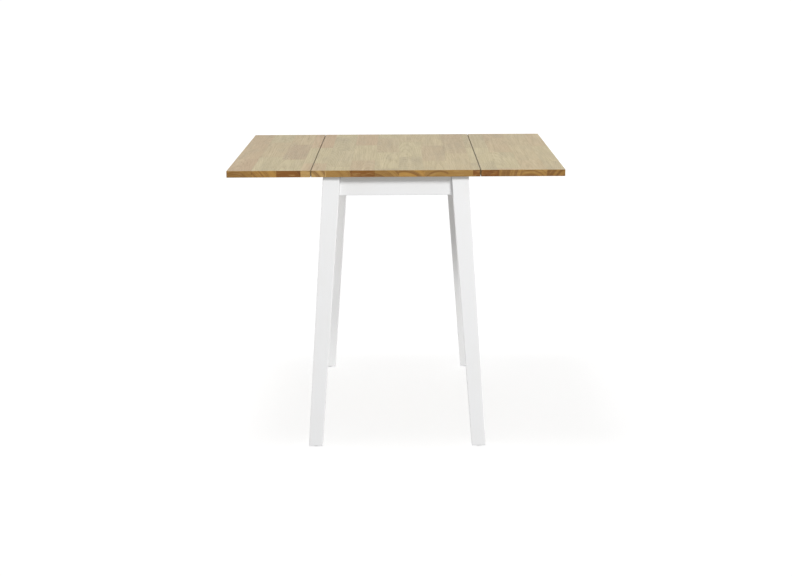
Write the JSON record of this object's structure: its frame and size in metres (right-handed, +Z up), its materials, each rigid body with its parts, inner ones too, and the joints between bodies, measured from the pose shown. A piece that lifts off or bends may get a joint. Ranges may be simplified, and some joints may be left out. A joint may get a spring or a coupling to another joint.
{
  "type": "drop leaf table",
  "caption": "Small drop-leaf table with a staved oak top, hinged side leaves on folding struts, and a white painted frame with splayed, tapered legs.",
  "frame": {"origin": "on the floor, under the middle of the top", "axes": "+X from the left leaf to the right leaf, +Y from front to rear, +Z up"},
  "size_m": [0.9, 0.7896, 0.77],
  "materials": {
    "oak": "oiled staved oak",
    "white_paint": "white satin paint on wood",
    "birch": "raw sawn birch",
    "zinc_steel": "zinc plated",
    "white_nylon": "white nylon",
    "black_nylon": "black nylon"
  },
  "bodies": {
    "frame": {"centre_top": "oak", "front_apron": "white_paint", "front_clip_screw": "zinc_steel", "front_left_corner_block": "birch", "front_left_flange_nut": "zinc_steel", "front_left_glide": "white_nylon", "front_left_hanger_bolt": "zinc_steel", "front_left_hinge_fixed_plate": "zinc_steel", "front_left_hinge_pin": "zinc_steel", "front_left_leg": "white_paint", "front_right_corner_block": "birch", "front_right_flange_nut": "zinc_steel", "front_right_glide": "white_nylon", "front_right_hanger_bolt": "zinc_steel", "front_right_hinge_fixed_plate": "zinc_steel", "front_right_hinge_pin": "zinc_steel", "front_right_leg": "white_paint", "front_top_clip": "zinc_steel", "left_apron": "white_paint", "left_clip_screw": "zinc_steel", "left_stay_bracket": "zinc_steel", "left_stay_rivet": "zinc_steel", "left_top_clip": "zinc_steel", "rear_apron": "white_paint", "rear_clip_screw": "zinc_steel", "rear_left_corner_block": "birch", "rear_left_flange_nut": "zinc_steel", "rear_left_glide": "white_nylon", "rear_left_hanger_bolt": "zinc_steel", "rear_left_hinge_fixed_plate": "zinc_steel", "rear_left_hinge_pin": "zinc_steel", "rear_left_leg": "white_paint", "rear_right_corner_block": "birch", "rear_right_flange_nut": "zinc_steel", "rear_right_glide": "white_nylon", "rear_right_hanger_bolt": "zinc_steel", "rear_right_hinge_fixed_plate": "zinc_steel", "rear_right_hinge_pin": "zinc_steel", "rear_right_leg": "white_paint", "rear_top_clip": "zinc_steel", "right_apron": "white_paint", "right_clip_screw": "zinc_steel", "right_stay_bracket": "zinc_steel", "right_stay_rivet": "zinc_steel", "right_top_clip": "zinc_steel"},
    "left_leaf": {"front_left_hinge_leaf_plate": "zinc_steel", "left_catch_plate": "zinc_steel", "left_leaf": "oak", "rear_left_hinge_leaf_plate": "zinc_steel"},
    "right_leaf": {"front_right_hinge_leaf_plate": "zinc_steel", "rear_right_hinge_leaf_plate": "zinc_steel", "right_catch_plate": "zinc_steel", "right_leaf": "oak"},
    "left_strut": {"left_stay_nose": "black_nylon", "left_stay_strut": "zinc_steel"},
    "right_strut": {"right_stay_nose": "black_nylon", "right_stay_strut": "zinc_steel"}
  },
  "joints": [
    {"name": "left_leaf_hinge", "type": "hinge", "parent": "frame", "child": "left_leaf", "pos_m": [-0.22575, 0, 0.7485], "axis": [0, -1, 0], "range_deg": [0, 90]},
    {"name": "left_strut_pivot", "type": "hinge", "parent": "frame", "child": "left_strut", "pos_m": [-0.2035, 0, 0.713], "axis": [0, -1, 0], "range_deg": [0, 96]},
    {"name": "right_leaf_hinge", "type": "hinge", "parent": "frame", "child": "right_leaf", "pos_m": [0.22575, 0, 0.7485], "axis": [0, 1, 0], "range_deg": [0, 90]},
    {"name": "right_strut_pivot", "type": "hinge", "parent": "frame", "child": "right_strut", "pos_m": [0.2035, 0, 0.713], "axis": [0, 1, 0], "range_deg": [0, 96]}
  ],
  "couplings": [
    {"joint": "left_strut_pivot", "follows": "left_leaf_hinge", "ratio": 1.0661},
    {"joint": "right_strut_pivot", "follows": "right_leaf_hinge", "ratio": 1.0661}
  ]
}
